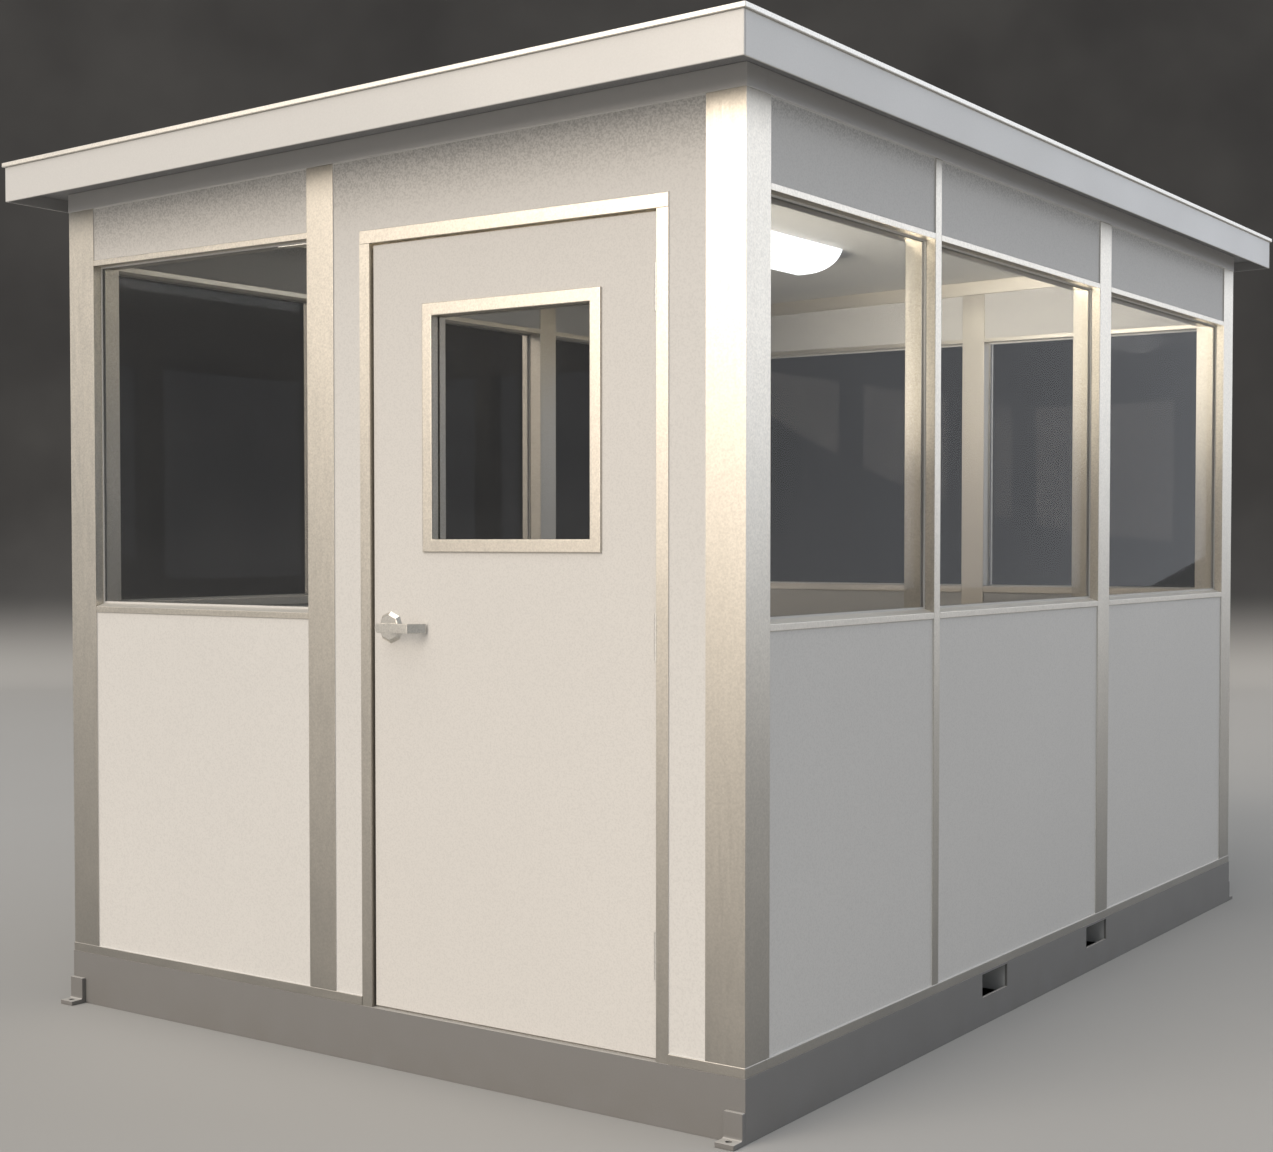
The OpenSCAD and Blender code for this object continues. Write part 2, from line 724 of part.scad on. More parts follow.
base_end_rails();
base_side_rails();
pocket_bridges();
fork_pocket_plates();
floor_joists();
floor_deck();
anchor_clips();
bottom_track_ends();
bottom_track_sides();
corner_posts();
front_mid_post();
rear_mid_post();
side_mullions_right();
side_mullions_left();
front_lower_panel();
front_upper_panel();
door_side_panels();
door_over_panel();
side_lower_panels();
side_upper_panels();
rear_lower_panels();
rear_upper_panels();
end_window_rails();
side_window_rails();
end_gaskets();
side_gaskets();
front_glass();
right_glass();
left_glass();
rear_glass();
top_band_ends();
top_band_sides();
roof_panel();
fascia_ends();
fascia_sides();
roof_cap();
ceiling_light();
door_jambs();
door_head();
hinges_frame();
hinges_door();
door_leaf();
door_lite_frame();
door_glass();
lock_roses();
door_lever();
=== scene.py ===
"""Looks of the guard booth: finishes, seals and small hardware on the CAD frame, and the studio round it."""
import math

import bmesh
import bpy
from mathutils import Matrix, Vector


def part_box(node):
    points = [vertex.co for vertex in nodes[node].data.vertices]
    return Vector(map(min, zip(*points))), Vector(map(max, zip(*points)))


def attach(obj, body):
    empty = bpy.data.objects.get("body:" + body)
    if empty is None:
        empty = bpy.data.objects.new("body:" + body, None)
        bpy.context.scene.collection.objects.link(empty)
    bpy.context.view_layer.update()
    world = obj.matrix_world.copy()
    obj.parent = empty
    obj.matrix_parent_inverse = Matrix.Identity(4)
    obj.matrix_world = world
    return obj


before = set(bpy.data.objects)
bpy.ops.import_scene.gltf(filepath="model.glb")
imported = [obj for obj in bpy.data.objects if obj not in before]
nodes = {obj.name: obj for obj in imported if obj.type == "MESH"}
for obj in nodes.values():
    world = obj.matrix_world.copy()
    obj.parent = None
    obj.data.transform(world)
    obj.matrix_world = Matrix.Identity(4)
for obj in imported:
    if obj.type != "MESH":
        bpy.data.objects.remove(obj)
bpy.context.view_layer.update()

# Places on the booth in metres, from the frame where a box gives them and else as in the CAD source

X, Y, Z = 0, 1, 2


def span(node, axis):
    """Where a CAD piece starts and ends along an axis, to a hundredth of a millimetre."""
    low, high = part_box(node)
    return round(low[axis], 5), round(high[axis], 5)


# Faces of the posts, panels and fascia
HALF_X = span("corner_posts", X)[1]
HALF_Y = span("corner_posts", Y)[1]
PANEL_X = span("side_lower_panels", X)[1]
PANEL_Y = span("rear_lower_panels", Y)[1]
FASCIA_X = span("fascia_ends", X)[1]
FASCIA_Y = span("fascia_ends", Y)[1]
HALF_WALL = 0.045               # about half the walls' thickness

# Levels, at X = 0 where the roof's slope moves them
DECK_TOP = span("floor_deck", Z)[1]
TRACK_TOP = span("bottom_track_ends", Z)[1]
SILL_LOW, HEAD_HIGH = span("end_window_rails", Z)
ROOF_SLOPE = 0.0213             # rise per metre towards +X
WALL_TOP = 2.4725
BAND_HEIGHT, ROOF_DEPTH = 0.055, 0.081
BAND_LOW = WALL_TOP - BAND_HEIGHT
CAP_TOP = WALL_TOP + ROOF_DEPTH

# Panel bays between the uprights
NARROW_MULLION, WIDE_MULLION = 0.037, 0.100
end_low, end_high = span("rear_lower_panels", X)
rear_post_low, rear_post_high = span("rear_mid_post", X)
side_low, side_high = span("side_lower_panels", Y)
mullions_low, mullions_high = span("side_mullions_right", Y)
FRONT_BAYS = [span("front_lower_panel", X)]
REAR_BAYS = [(end_low, rear_post_low), (rear_post_high, end_high)]
SIDE_BAYS = [(side_low, mullions_low), (mullions_low + NARROW_MULLION, mullions_high - WIDE_MULLION),
             (mullions_high, side_high)]
DOOR_BAY = span("door_over_panel", X)

# Doorway
FRAME_FACE, STOP_HEIGHT = 0.035, 0.012
FRAME_LEFT, FRAME_RIGHT = span("door_head", X)
STOP_TOP, FRAME_TOP = span("door_head", Z)
OPENING_LEFT, OPENING_RIGHT = FRAME_LEFT + FRAME_FACE, FRAME_RIGHT - FRAME_FACE
STOP_LEFT, STOP_RIGHT = OPENING_LEFT + STOP_HEIGHT, OPENING_RIGHT - STOP_HEIGHT
LEAF_LEFT, LEAF_RIGHT = span("door_leaf", X)
LEAF_FRONT, LEAF_BACK = span("door_leaf", Y)
LEAF_LOW, LEAF_HIGH = span("door_leaf", Z)
LEAF_MIDDLE = (LEAF_FRONT + LEAF_BACK) / 2
STOP_FRONT = LEAF_BACK + LEAF_LOW - DECK_TOP
WALL_BACK = span("door_jambs", Y)[1]
LOCK_LEVEL = sum(span("lock_roses", Z)) / 2


# Node materials. Object coordinates are metres in the booth's frame, so scales are features per metre.

class Finish:
    """One procedural material: a Principled shader with named texture layers."""

    def __init__(self, name, colour, roughness, metallic=0.0):
        self.material = bpy.data.materials.new(name)
        self.material.use_nodes = True
        self.tree = self.material.node_tree
        self.shader = self.tree.nodes["Principled BSDF"]
        self.colour = None
        self.height = None
        self.set("Base Color", (*colour, 1.0))
        self.set("Roughness", roughness)
        self.set("Metallic", metallic)
        self.coordinates = self.add("ShaderNodeTexCoord").outputs["Object"]
        self.split = self.add("ShaderNodeSeparateXYZ")
        self.link(self.coordinates, self.split.inputs["Vector"])

    def add(self, kind, **inputs):
        node = self.tree.nodes.new(kind)
        for key, value in inputs.items():
            node.inputs[key.replace("_", " ")].default_value = value
        return node

    def link(self, out, into):
        self.tree.links.new(out, into)

    def set(self, socket, value):
        self.shader.inputs[socket].default_value = value

    def noise(self, scale, detail=3.0, stretch=(1, 1, 1)):
        """Noise of about scale features per metre; stretch multiplies the scale along each axis."""
        mapping = self.add("ShaderNodeMapping")
        mapping.inputs["Scale"].default_value = stretch
        self.link(self.coordinates, mapping.inputs["Vector"])
        texture = self.add("ShaderNodeTexNoise", Scale=scale, Detail=detail)
        self.link(mapping.outputs["Vector"], texture.inputs["Vector"])
        return texture.outputs["Fac"]

    def ramp(self, factor, low, high, start=0.3, end=0.7):
        """Numbers from low to high as factor goes from start to end."""
        spread = self.add("ShaderNodeMapRange", From_Min=start, From_Max=end, To_Min=low, To_Max=high)
        self.link(factor, spread.inputs["Value"])
        return spread.outputs["Result"]

    def math(self, operation, *values):
        node = self.add("ShaderNodeMath")
        node.operation = operation
        for socket, value in zip(node.inputs, values):
            if isinstance(value, (int, float)):
                socket.default_value = value
            else:
                self.link(value, socket)
        return node.outputs[0]

    def step(self, value, low, high):
        """0 below low and 1 above high, smooth between."""
        spread = self.add("ShaderNodeMapRange", From_Min=low, From_Max=high)
        spread.interpolation_type = "SMOOTHSTEP"
        self.link(value, spread.inputs["Value"])
        return spread.outputs["Result"]

    def near_ground(self, reach):
        """1 at the ground, falling evenly to 0 at reach above it."""
        return self.ramp(self.split.outputs["Z"], 1.0, 0.0, 0.0, reach)

    def under_eave(self, reach):
        """1 at the lower edge of the sloping header band and 0 at reach below it."""
        level = self.math("MULTIPLY_ADD", self.split.outputs["X"], -ROOF_SLOPE, self.split.outputs["Z"])
        return self.step(level, BAND_LOW - reach, BAND_LOW)

    def beyond(self, half_x, half_y, fade=0.004):
        """1 outside an upright box round the middle of the booth, falling to 0 at fade inside it."""
        over_x = self.math("SUBTRACT", self.math("ABSOLUTE", self.split.outputs["X"]), half_x)
        over_y = self.math("SUBTRACT", self.math("ABSOLUTE", self.split.outputs["Y"]), half_y)
        return self.step(self.math("MAXIMUM", over_x, over_y), -fade, 0.0)

    def outdoors(self, inset=0.0):
        """1 outside the wall line moved in by inset, 0 over the room."""
        return self.beyond(HALF_X - inset, HALF_Y - inset)

    def behind_fascia(self, skin_depth=0.001):
        """1 on the inner faces of the fascia, 0 on its outer ones."""
        return self.math("SUBTRACT", 1.0, self.beyond(FASCIA_X - skin_depth, FASCIA_Y - skin_depth))

    def facing_up(self):
        """1 on faces that look up, where top light is painted, 0 on upright and underside faces."""
        facing = self.add("ShaderNodeSeparateXYZ")
        self.link(self.add("ShaderNodeNewGeometry").outputs["Normal"], facing.inputs["Vector"])
        return self.step(facing.outputs["Z"], 0.5, 0.8)

    def tint(self, factor, colour):
        """Moves the colour towards another one by factor."""
        mix = self.add("ShaderNodeMix")
        mix.data_type = "RGBA"
        self.link(factor, mix.inputs["Factor"])
        base = self.shader.inputs["Base Color"]
        if self.colour is None:
            mix.inputs["A"].default_value = base.default_value
        else:
            self.link(self.colour, mix.inputs["A"])
        mix.inputs["B"].default_value = (*colour, 1.0)
        self.colour = mix.outputs["Result"]
        self.link(self.colour, base)
        return self

    def rough(self, factor, low, high):
        self.link(self.ramp(factor, low, high), self.shader.inputs["Roughness"])
        return self

    def dull(self, factor, metallic):
        """Lowers a metal's metallic value from 1 as factor goes from 0 to 1."""
        self.link(self.ramp(factor, 1.0, metallic, 0.0, 1.0), self.shader.inputs["Metallic"])
        return self

    def bump(self, factor, depth, strength=1.0):
        """Surface relief of a real depth in metres."""
        bump = self.add("ShaderNodeBump", Strength=strength, Distance=depth)
        self.link(factor, bump.inputs["Height"])
        if self.height is not None:
            self.link(self.height, bump.inputs["Normal"])
        self.height = bump.outputs["Normal"]
        self.link(self.height, self.shader.inputs["Normal"])
        return self


def shade(colour, factor):
    return tuple(c * factor for c in colour)


# Dark grey that satin metal takes towards the ground, as a painted reflection of the dark ground
GROUND_REFLECTION_GREY = (0.268, 0.266, 0.260)
# Light grey for up-facing faces, as painted top light
TOP_LIGHT_TINT = (0.64, 0.62, 0.58)
GRIME = (0.16, 0.145, 0.125)


def satin_metal(name, colour, stretch, roughness=(0.32, 0.42), ground_reflection=0.88, eave_shade=0.0, band_shade=None,
                top_light=False):
    """Anodised aluminium with die lines along one axis, a fine grain and a painted dark reflection of the
    ground low down.

    eave paints shade below the header band, outdoor is a duller, darker colour painted on its outer side as
    eave shade, and ledge paints top light on what faces up, lighter and duller.
    """
    finish = Finish(name, colour, 0.36, metallic=1.0)
    lines = finish.noise(60, detail=4, stretch=stretch)
    cloud = finish.noise(3.0, detail=4)
    grain = finish.noise(190, detail=2)
    finish.tint(finish.ramp(cloud, 0.0, 0.4), shade(colour, 0.92))
    finish.tint(finish.ramp(grain, 0.0, 0.65), shade(colour, 0.72))
    # Painted shade on the metal below the header band, where the eave shades it
    if eave_shade:
        finish.tint(finish.math("MULTIPLY", finish.under_eave(0.12), eave_shade), shade(colour, 0.4))
    # Darker towards the ground: a painted reflection of the dark ground
    if ground_reflection:
        painted_ground_reflection = finish.math("MULTIPLY", finish.near_ground(1.9), finish.ramp(cloud, 0.85 * ground_reflection, ground_reflection))
        finish.tint(painted_ground_reflection, GROUND_REFLECTION_GREY)
    # Up-facing faces painted lighter and duller, as painted top light
    if top_light:
        painted_top_light = finish.math("MULTIPLY", finish.facing_up(), finish.ramp(cloud, 0.75, 0.95))
        finish.tint(painted_top_light, TOP_LIGHT_TINT).dull(painted_top_light, 0.1)
    # Outer faces of the header band painted duller and darker, as painted eave shade
    if band_shade:
        painted_band_shade = finish.math("MULTIPLY", finish.outdoors(HALF_WALL), finish.ramp(grain, 1.0, 0.85))
        finish.tint(painted_band_shade, band_shade).dull(painted_band_shade, 0.3)
    finish.rough(lines, *roughness)
    finish.bump(lines, 0.00004).bump(grain, 0.00005)
    return finish.material


def stucco_panel(name, colour, eave_shade_strength, eave_reach=0.20):
    """Stucco-embossed painted sheet with faint cloudy fading and painted eave shade held in the grain under
    the eaves.
    """
    finish = Finish(name, colour, 0.5)
    pebble = finish.noise(210, detail=3)
    fine = finish.noise(700, detail=2)
    cloud = finish.noise(1.6, detail=5)
    eave_shade = finish.under_eave(eave_reach)
    finish.tint(finish.ramp(cloud, 0.0, 0.5), shade(colour, 0.95))
    # Hollows of the stucco painted darker, as painted shade in the grain
    finish.tint(finish.ramp(pebble, 0.42, 0.0, 0.34, 0.56), shade(colour, 0.80))
    # Painted shade under the eaves, strongest in the hollows of the grain
    painted_eave_shade = finish.math("MULTIPLY", eave_shade, finish.ramp(pebble, eave_shade_strength, 0.2 * eave_shade_strength, 0.35, 0.6))
    finish.tint(painted_eave_shade, shade(colour, 0.52))
    finish.rough(fine, 0.42, 0.6)
    finish.bump(pebble, 0.0003, strength=0.8).bump(fine, 0.0001)
    finish.set("Specular IOR Level", 0.4)
    return finish.material


def smooth_paint(name, colour, roughness, grime=0.0, coat=0.0, soffit_shade=None, top_light=None, inner=None):
    """Sprayed paint with orange peel and cloudy variation.

    grime is dirt low down, coat a gloss layer, and soffit, ledge and inner are colours: painted shade for
    the part outside the walls, painted top light for what faces up and painted shade for the back of the
    fascia.
    """
    finish = Finish(name, colour, roughness)
    peel = finish.noise(160, detail=2)
    cloud = finish.noise(2.2, detail=5)
    speck = finish.noise(240, detail=2)
    finish.tint(finish.ramp(cloud, 0.0, 0.6), shade(colour, 0.94))
    finish.tint(finish.ramp(speck, 0.0, 0.3), shade(colour, 0.84))
    if grime:
        blotch = finish.ramp(finish.noise(9, detail=6), 0.0, grime)
        finish.tint(finish.math("MULTIPLY", finish.near_ground(0.16), blotch), GRIME)
    # Up-facing faces painted lighter, as painted top light
    if top_light:
        finish.tint(finish.facing_up(), top_light)
    # Painted shade on the back of the fascia
    if inner:
        finish.tint(finish.behind_fascia(), inner)
    # Painted shade on the roof panel's underside outside the walls, with darker specks in it
    if soffit_shade:
        outside = finish.outdoors()
        finish.tint(outside, soffit_shade)
        finish.tint(finish.math("MULTIPLY", outside, finish.ramp(speck, 0.6, 0.0)), shade(soffit_shade, 0.5))
    finish.rough(cloud, roughness - 0.06, roughness + 0.08)
    finish.bump(peel, 0.00006)
    if coat:
        finish.set("Coat Weight", coat)
        finish.set("Coat Roughness", 0.12)
    return finish.material


def clear_glass(name):
    """Lightly grey glass; each face lets most light through and reflects by its index."""
    finish = Finish(name, (0.010, 0.011, 0.012), 0.03)
    smear = finish.noise(4, detail=5, stretch=(1, 1, 2.5))
    finish.tint(finish.ramp(smear, 0.0, 1.0), (0.018, 0.019, 0.02))
    finish.rough(smear, 0.01, 0.025)
    finish.set("Alpha", 0.23)
    finish.set("IOR", 1.45)
    return finish.material


def rubber(name, colour):
    """Matt rubber or sealant with a fine grain."""
    finish = Finish(name, colour, 0.7)
    grain = finish.noise(500, detail=3)
    finish.tint(finish.ramp(grain, 0.0, 0.8), shade(colour, 1.25))
    finish.rough(grain, 0.6, 0.8).bump(grain, 0.0001)
    return finish.material


def lamp_lens(name):
    """Lit opal diffuser, a little uneven along its length."""
    finish = Finish(name, (0.9, 0.9, 0.88), 0.4)
    cloud = finish.noise(5, detail=2)
    finish.tint(finish.ramp(cloud, 0.0, 0.6), (0.84, 0.84, 0.82))
    finish.rough(cloud, 0.35, 0.5)
    finish.set("Emission Color", (0.92, 0.96, 1.0, 1.0))
    finish.set("Emission Strength", 2.5)
    return finish.material


# Stretch of the die lines for metal drawn along each axis
UPRIGHT = (8, 8, 0.15)
ALONG_X = (0.15, 8, 8)
ALONG_Y = (8, 0.15, 8)

ALUMINIUM = (0.86, 0.805, 0.71)
# Duller grey for the header bands' outer faces, as painted eave shade
BAND_SHADE_GREY = (0.64, 0.63, 0.62)
PANEL = (0.69, 0.675, 0.65)
GREY_RUBBER = (0.58, 0.57, 0.55)

# The uprights' darkening below the header band is painted shade
upright_metal = satin_metal("aluminium_upright", ALUMINIUM, UPRIGHT, eave_shade=0.5)
# The rails' lighter up-facing faces are painted top light
end_metal = satin_metal("aluminium_along_x", ALUMINIUM, ALONG_X, top_light=True)
side_metal = satin_metal("aluminium_along_y", ALUMINIUM, ALONG_Y, top_light=True)
# The header bands' duller outer colour is painted eave shade
end_band_metal = satin_metal("header_along_x", ALUMINIUM, ALONG_X, ground_reflection=0.0, band_shade=BAND_SHADE_GREY)
side_band_metal = satin_metal("header_along_y", ALUMINIUM, ALONG_Y, ground_reflection=0.0, band_shade=BAND_SHADE_GREY)
hinge_metal = satin_metal("hinge_steel", (0.88, 0.87, 0.84), UPRIGHT, roughness=(0.5, 0.6), ground_reflection=0.4)
cap_metal = satin_metal("bright_drip_edge", (0.94, 0.91, 0.85), ALONG_X, roughness=(0.40, 0.52), ground_reflection=0.0)
lock_metal = satin_metal("satin_steel", (0.84, 0.81, 0.75), UPRIGHT, roughness=(0.27, 0.35), ground_reflection=0.0)
# Much lighter than the base paint, as painted light inside the shaded fork pockets
pocket_paint = smooth_paint("pocket_plate_painted_light", (0.62, 0.62, 0.61), 0.6)
# The panels' and door's darkening under the eaves is painted shade
end_paint = stucco_panel("stucco_panel_ends", PANEL, eave_shade_strength=0.8)
side_paint = stucco_panel("stucco_panel_sides", PANEL, eave_shade_strength=0.8, eave_reach=0.07)
door_paint = stucco_panel("door_skin", (0.695, 0.675, 0.645), eave_shade_strength=0.5)
# The dark grey on the fascia's inner faces is painted shade
trim_paint = smooth_paint("white_trim", (0.70, 0.69, 0.67), 0.34, coat=0.35, inner=(0.32, 0.32, 0.325))
# The soffit's dark grey is painted shade
ceiling_paint = smooth_paint("ceiling_skin", (0.74, 0.73, 0.70), 0.6, soffit_shade=(0.30, 0.30, 0.305))
# The lighter grey on the base's top faces is painted top light
base_paint = smooth_paint("grey_steel_paint", (0.205, 0.20, 0.195), 0.5, grime=0.3,
                          top_light=(0.46, 0.445, 0.42))
deck_paint = smooth_paint("deck_plate", (0.30, 0.30, 0.295), 0.45)
glass = clear_glass("window_glass")
grey_rubber = rubber("grey_rubber", GREY_RUBBER)
black_rubber = rubber("black_rubber", (0.022, 0.022, 0.023))
bead_sealant = rubber("bead_sealant", GREY_RUBBER)
lens = lamp_lens("opal_lens")

FINISHES = {
    upright_metal: ["corner_posts", "front_mid_post", "rear_mid_post", "side_mullions_right",
                    "side_mullions_left", "door_jambs", "door_lite_frame"],
    hinge_metal: ["hinges_frame", "hinges_door"],
    end_metal: ["bottom_track_ends", "end_window_rails", "door_head"],
    side_metal: ["bottom_track_sides", "side_window_rails"],
    end_band_metal: ["top_band_ends"],
    side_band_metal: ["top_band_sides"],
    cap_metal: ["roof_cap"],
    lock_metal: ["lock_roses", "door_lever"],
    end_paint: ["front_lower_panel", "front_upper_panel", "door_side_panels", "door_over_panel",
                "rear_lower_panels", "rear_upper_panels"],
    side_paint: ["side_lower_panels", "side_upper_panels"],
    door_paint: ["door_leaf"],
    trim_paint: ["fascia_ends", "fascia_sides"],
    ceiling_paint: ["roof_panel"],
    base_paint: ["base_end_rails", "base_side_rails", "pocket_bridges", "floor_joists", "anchor_clips"],
    pocket_paint: ["fork_pocket_plates"],
    deck_paint: ["floor_deck"],
    glass: ["front_glass", "right_glass", "left_glass", "rear_glass", "door_glass"],
    grey_rubber: ["end_gaskets", "side_gaskets"],
    lens: ["ceiling_light"],
}

for finish, names in FINISHES.items():
    for name in names:
        mesh = nodes[name].data
        mesh.materials.clear()
        mesh.materials.append(finish)


# Eased edges on the CAD pieces, so that they catch the light as folded and extruded metal does

EASED = {
    0.0012: ["corner_posts", "front_mid_post", "rear_mid_post", "side_mullions_right",
             "side_mullions_left", "bottom_track_ends", "bottom_track_sides", "end_window_rails",
             "side_window_rails", "top_band_ends", "top_band_sides", "door_jambs", "door_head",
             "door_leaf", "door_lite_frame", "lock_roses", "door_lever"],
    0.0016: ["anchor_clips", "fascia_ends", "fascia_sides", "roof_cap"],
}
SAME_POINT, SAME_POINT_AFTER = 0.00001, 0.000004


def ease_edges(obj, width):
    """Joins the imported triangles into flat faces and rounds the sharp edges between them."""
    weld = obj.modifiers.new("weld", "WELD")
    weld.merge_threshold = SAME_POINT
    planar = obj.modifiers.new("planar", "DECIMATE")
    planar.decimate_type = "DISSOLVE"
    planar.angle_limit = math.radians(1)
    bevel = obj.modifiers.new("eased", "BEVEL")
    bevel.width = width
    bevel.segments = 2
    bevel.limit_method = "ANGLE"
    bevel.angle_limit = math.radians(35)
    clean = obj.modifiers.new("clean", "WELD")
    clean.merge_threshold = SAME_POINT_AFTER
    flat = obj.modifiers.new("flat", "WEIGHTED_NORMAL")
    flat.keep_sharp = True


for width, names in EASED.items():
    for name in names:
        ease_edges(nodes[name], width)


# Small pieces. A wall is drawn in (u, v) and a placer turns (u, v, height over the wall) into a point.

def piece(name, bm, material, body):
    """Links a finished mesh, riding on a body and taking the given finish."""
    bmesh.ops.recalc_face_normals(bm, faces=bm.faces[:])
    mesh = bpy.data.meshes.new(name)
    bm.to_mesh(mesh)
    bm.free()
    for face in mesh.polygons:
        face.use_smooth = True
    mesh.set_sharp_from_angle(angle=math.radians(40))
    mesh.materials.append(material)
    obj = bpy.data.objects.new(name, mesh)
    bpy.context.scene.collection.objects.link(obj)
    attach(obj, body)


def offset(path, distance, closed):
    """The path moved to its left by distance, with mitred corners."""
    moved = []
    count = len(path)
    for i, point in enumerate(path):
        sides = []
        if closed or i > 0:
            sides.append(point - path[i - 1])
        if closed or i < count - 1:
            sides.append(path[(i + 1) % count] - point)
        normals = [Vector((-side.y, side.x)).normalized() for side in sides]
        mitre = normals[0]
        if len(normals) == 2:
            mitre = (normals[0] + normals[1]) / (1 + normals[0].dot(normals[1]))
        moved.append(point + distance * mitre)
    return moved


def rings(bm, path, section, place, closed=True):
    """One row of vertices for each (inset, height) pair of the section."""
    path = [Vector(p) for p in path]
    return [[bm.verts.new(place(p.x, p.y, height)) for p in offset(path, inset, closed)]
            for inset, height in section]


def skin(bm, first, second, closed=True):
    """Faces between two rows of vertices."""
    count = len(first)
    for i in range(count if closed else count - 1):
        j = (i + 1) % count
        bm.faces.new((first[i], first[j], second[j], second[i]))


def tube(bm, rows, closed=True):
    """Faces between each row of vertices and the next, and between the last and the first."""
    for k, row in enumerate(rows):
        skin(bm, row, rows[(k + 1) % len(rows)], closed)


def stack(bm, rows):
    """A solid from rows of vertices, closed below at the first and above at the last."""
    for low, high in zip(rows, rows[1:]):
        skin(bm, low, high)
    bm.faces.new(reversed(rows[0]))
    bm.faces.new(rows[-1])


def sweep(bm, path, section, place, closed=True):
    """A closed section carried round a path."""
    rows = rings(bm, path, section, place, closed)
    tube(bm, rows, closed)
    if not closed:
        bm.faces.new([row[0] for row in rows])
        bm.faces.new([row[-1] for row in reversed(rows)])


def plate(bm, outline, section, place):
    """A solid over an outline, with the section as its edge."""
    stack(bm, rings(bm, outline, section, place))


def rectangle(left, right, low, high):
    """Outline of a rectangle, anticlockwise."""
    return [(left, low), (right, low), (right, high), (left, high)]


def rounded(u, v, width, height, radius, steps=4):
    """Outline of a rectangle round (u, v) with rounded corners, anticlockwise."""
    points = []
    for quarter, (su, sv) in enumerate(((1, 1), (-1, 1), (-1, -1), (1, -1))):
        for i in range(steps + 1):
            turn = math.pi / 2 * (quarter + i / steps)
            points.append((u + su * (width / 2 - radius) + radius * math.cos(turn),
                           v + sv * (height / 2 - radius) + radius * math.sin(turn)))
    return points


def circle(u, v, radius, steps=12):
    """Outline of a circle round (u, v), anticlockwise."""
    turns = [2 * math.pi * i / steps for i in range(steps)]
    return [(u + radius * math.cos(turn), v + radius * math.sin(turn)) for turn in turns]


SCREW_STEPS = 24
HEAD = [1.0] * SCREW_STEPS
CROSS_ARM = {0: 0.56, 1: 0.36, 5: 0.36}     # reach of the recess by place in each quarter, in head radii
CROSS = [CROSS_ARM.get(i % 6, 0.2) for i in range(SCREW_STEPS)]
SCREW_ROWS = [(HEAD, 1.0, 0.0), (HEAD, 0.94, 0.8), (HEAD, 0.78, 1.0), (CROSS, 1.0, 1.0), (CROSS, 0.8, 0.2)]


def screw_heads(bm, spots, radius, rise):
    """Countersunk heads with a cross recess; a spot is a point on the surface and the way it faces."""
    for centre, facing in spots:
        turn = Vector(facing).to_track_quat("Z", "Y")
        rows = []
        for shape, scale, level in SCREW_ROWS:
            row = []
            for i, reach in enumerate(shape):
                angle = 2 * math.pi * i / SCREW_STEPS
                local = Vector((math.cos(angle), math.sin(angle), 0)) * reach * scale * radius
                local.z = level * rise
                row.append(bm.verts.new(Vector(centre) + turn @ local))
            rows.append(row)
        stack(bm, rows)


# Sealant beads round the wall panels

BEAD = [(0.0, 0.0), (0.0026, 0.0), (0.0011, 0.0008), (0.0006, 0.0014), (0.0, 0.0026)]


def on_end(side):
    """Placer on the panels of the front (-1) or rear (1) wall: u is X and v is Z."""
    return lambda u, v, height: (u, side * (PANEL_Y + height), v)


def on_side(side):
    """Placer on the panels of the left (-1) or right (1) wall: u is Y and v is Z."""
    return lambda u, v, height: (side * (PANEL_X + height), u, v)


def band_low(x):
    """Level of the header band's lower edge."""
    return BAND_LOW + ROOF_SLOPE * x


def end_beads(bm, bays, place):
    """Beads round the lower and upper panels of a front or rear wall."""
    for low, high in bays:
        sweep(bm, rectangle(low, high, TRACK_TOP, SILL_LOW), BEAD, place)
        under_band = [(low, HEAD_HIGH), (high, HEAD_HIGH), (high, band_low(high)), (low, band_low(low))]
        sweep(bm, under_band, BEAD, place)


def door_bay_bead(bm, place):
    """Bead round the panels that frame the door."""
    left, right = DOOR_BAY
    path = [(left, TRACK_TOP), (FRAME_LEFT, TRACK_TOP), (FRAME_LEFT, FRAME_TOP), (FRAME_RIGHT, FRAME_TOP),
            (FRAME_RIGHT, TRACK_TOP), (right, TRACK_TOP), (right, band_low(right)), (left, band_low(left))]
    sweep(bm, path, BEAD, place)


def side_beads(bm, side):
    """Beads round the lower and upper panels of a side wall."""
    for low, high in SIDE_BAYS:
        for bottom, top in ((TRACK_TOP, SILL_LOW), (HEAD_HIGH, band_low(side * HALF_X))):
            sweep(bm, rectangle(low, high, bottom, top), BEAD, on_side(side))


bm = bmesh.new()
end_beads(bm, FRONT_BAYS, on_end(-1))
door_bay_bead(bm, on_end(-1))
piece("front_panel_beads", bm, bead_sealant, "booth")

bm = bmesh.new()
end_beads(bm, REAR_BAYS, on_end(1))
piece("rear_panel_beads", bm, bead_sealant, "booth")

for side, name in ((1, "right_panel_beads"), (-1, "left_panel_beads")):
    bm = bmesh.new()
    side_beads(bm, side)
    piece(name, bm, bead_sealant, "booth")


# Bulb seal on the door stops

BULB = [(0.0002, 0.0), (0.0002, 0.0016), (0.0010, 0.0030), (0.0024, 0.0039), (0.0038, 0.0032),
        (0.0046, 0.0018), (0.0046, 0.0)]
SEAL_FOOT = DECK_TOP + 0.0035


def on_stop(u, v, height):
    """Placer on the front of the door stops: u is X and v is Z."""
    return (u, STOP_FRONT - height, v)


bm = bmesh.new()
stop_line = [(STOP_LEFT, SEAL_FOOT), (STOP_LEFT, STOP_TOP), (STOP_RIGHT, STOP_TOP), (STOP_RIGHT, SEAL_FOOT)]
sweep(bm, stop_line, BULB, on_stop, closed=False)
piece("door_seal", bm, grey_rubber, "booth")


# Ribbed threshold on the deck, drawn in section and run across the opening

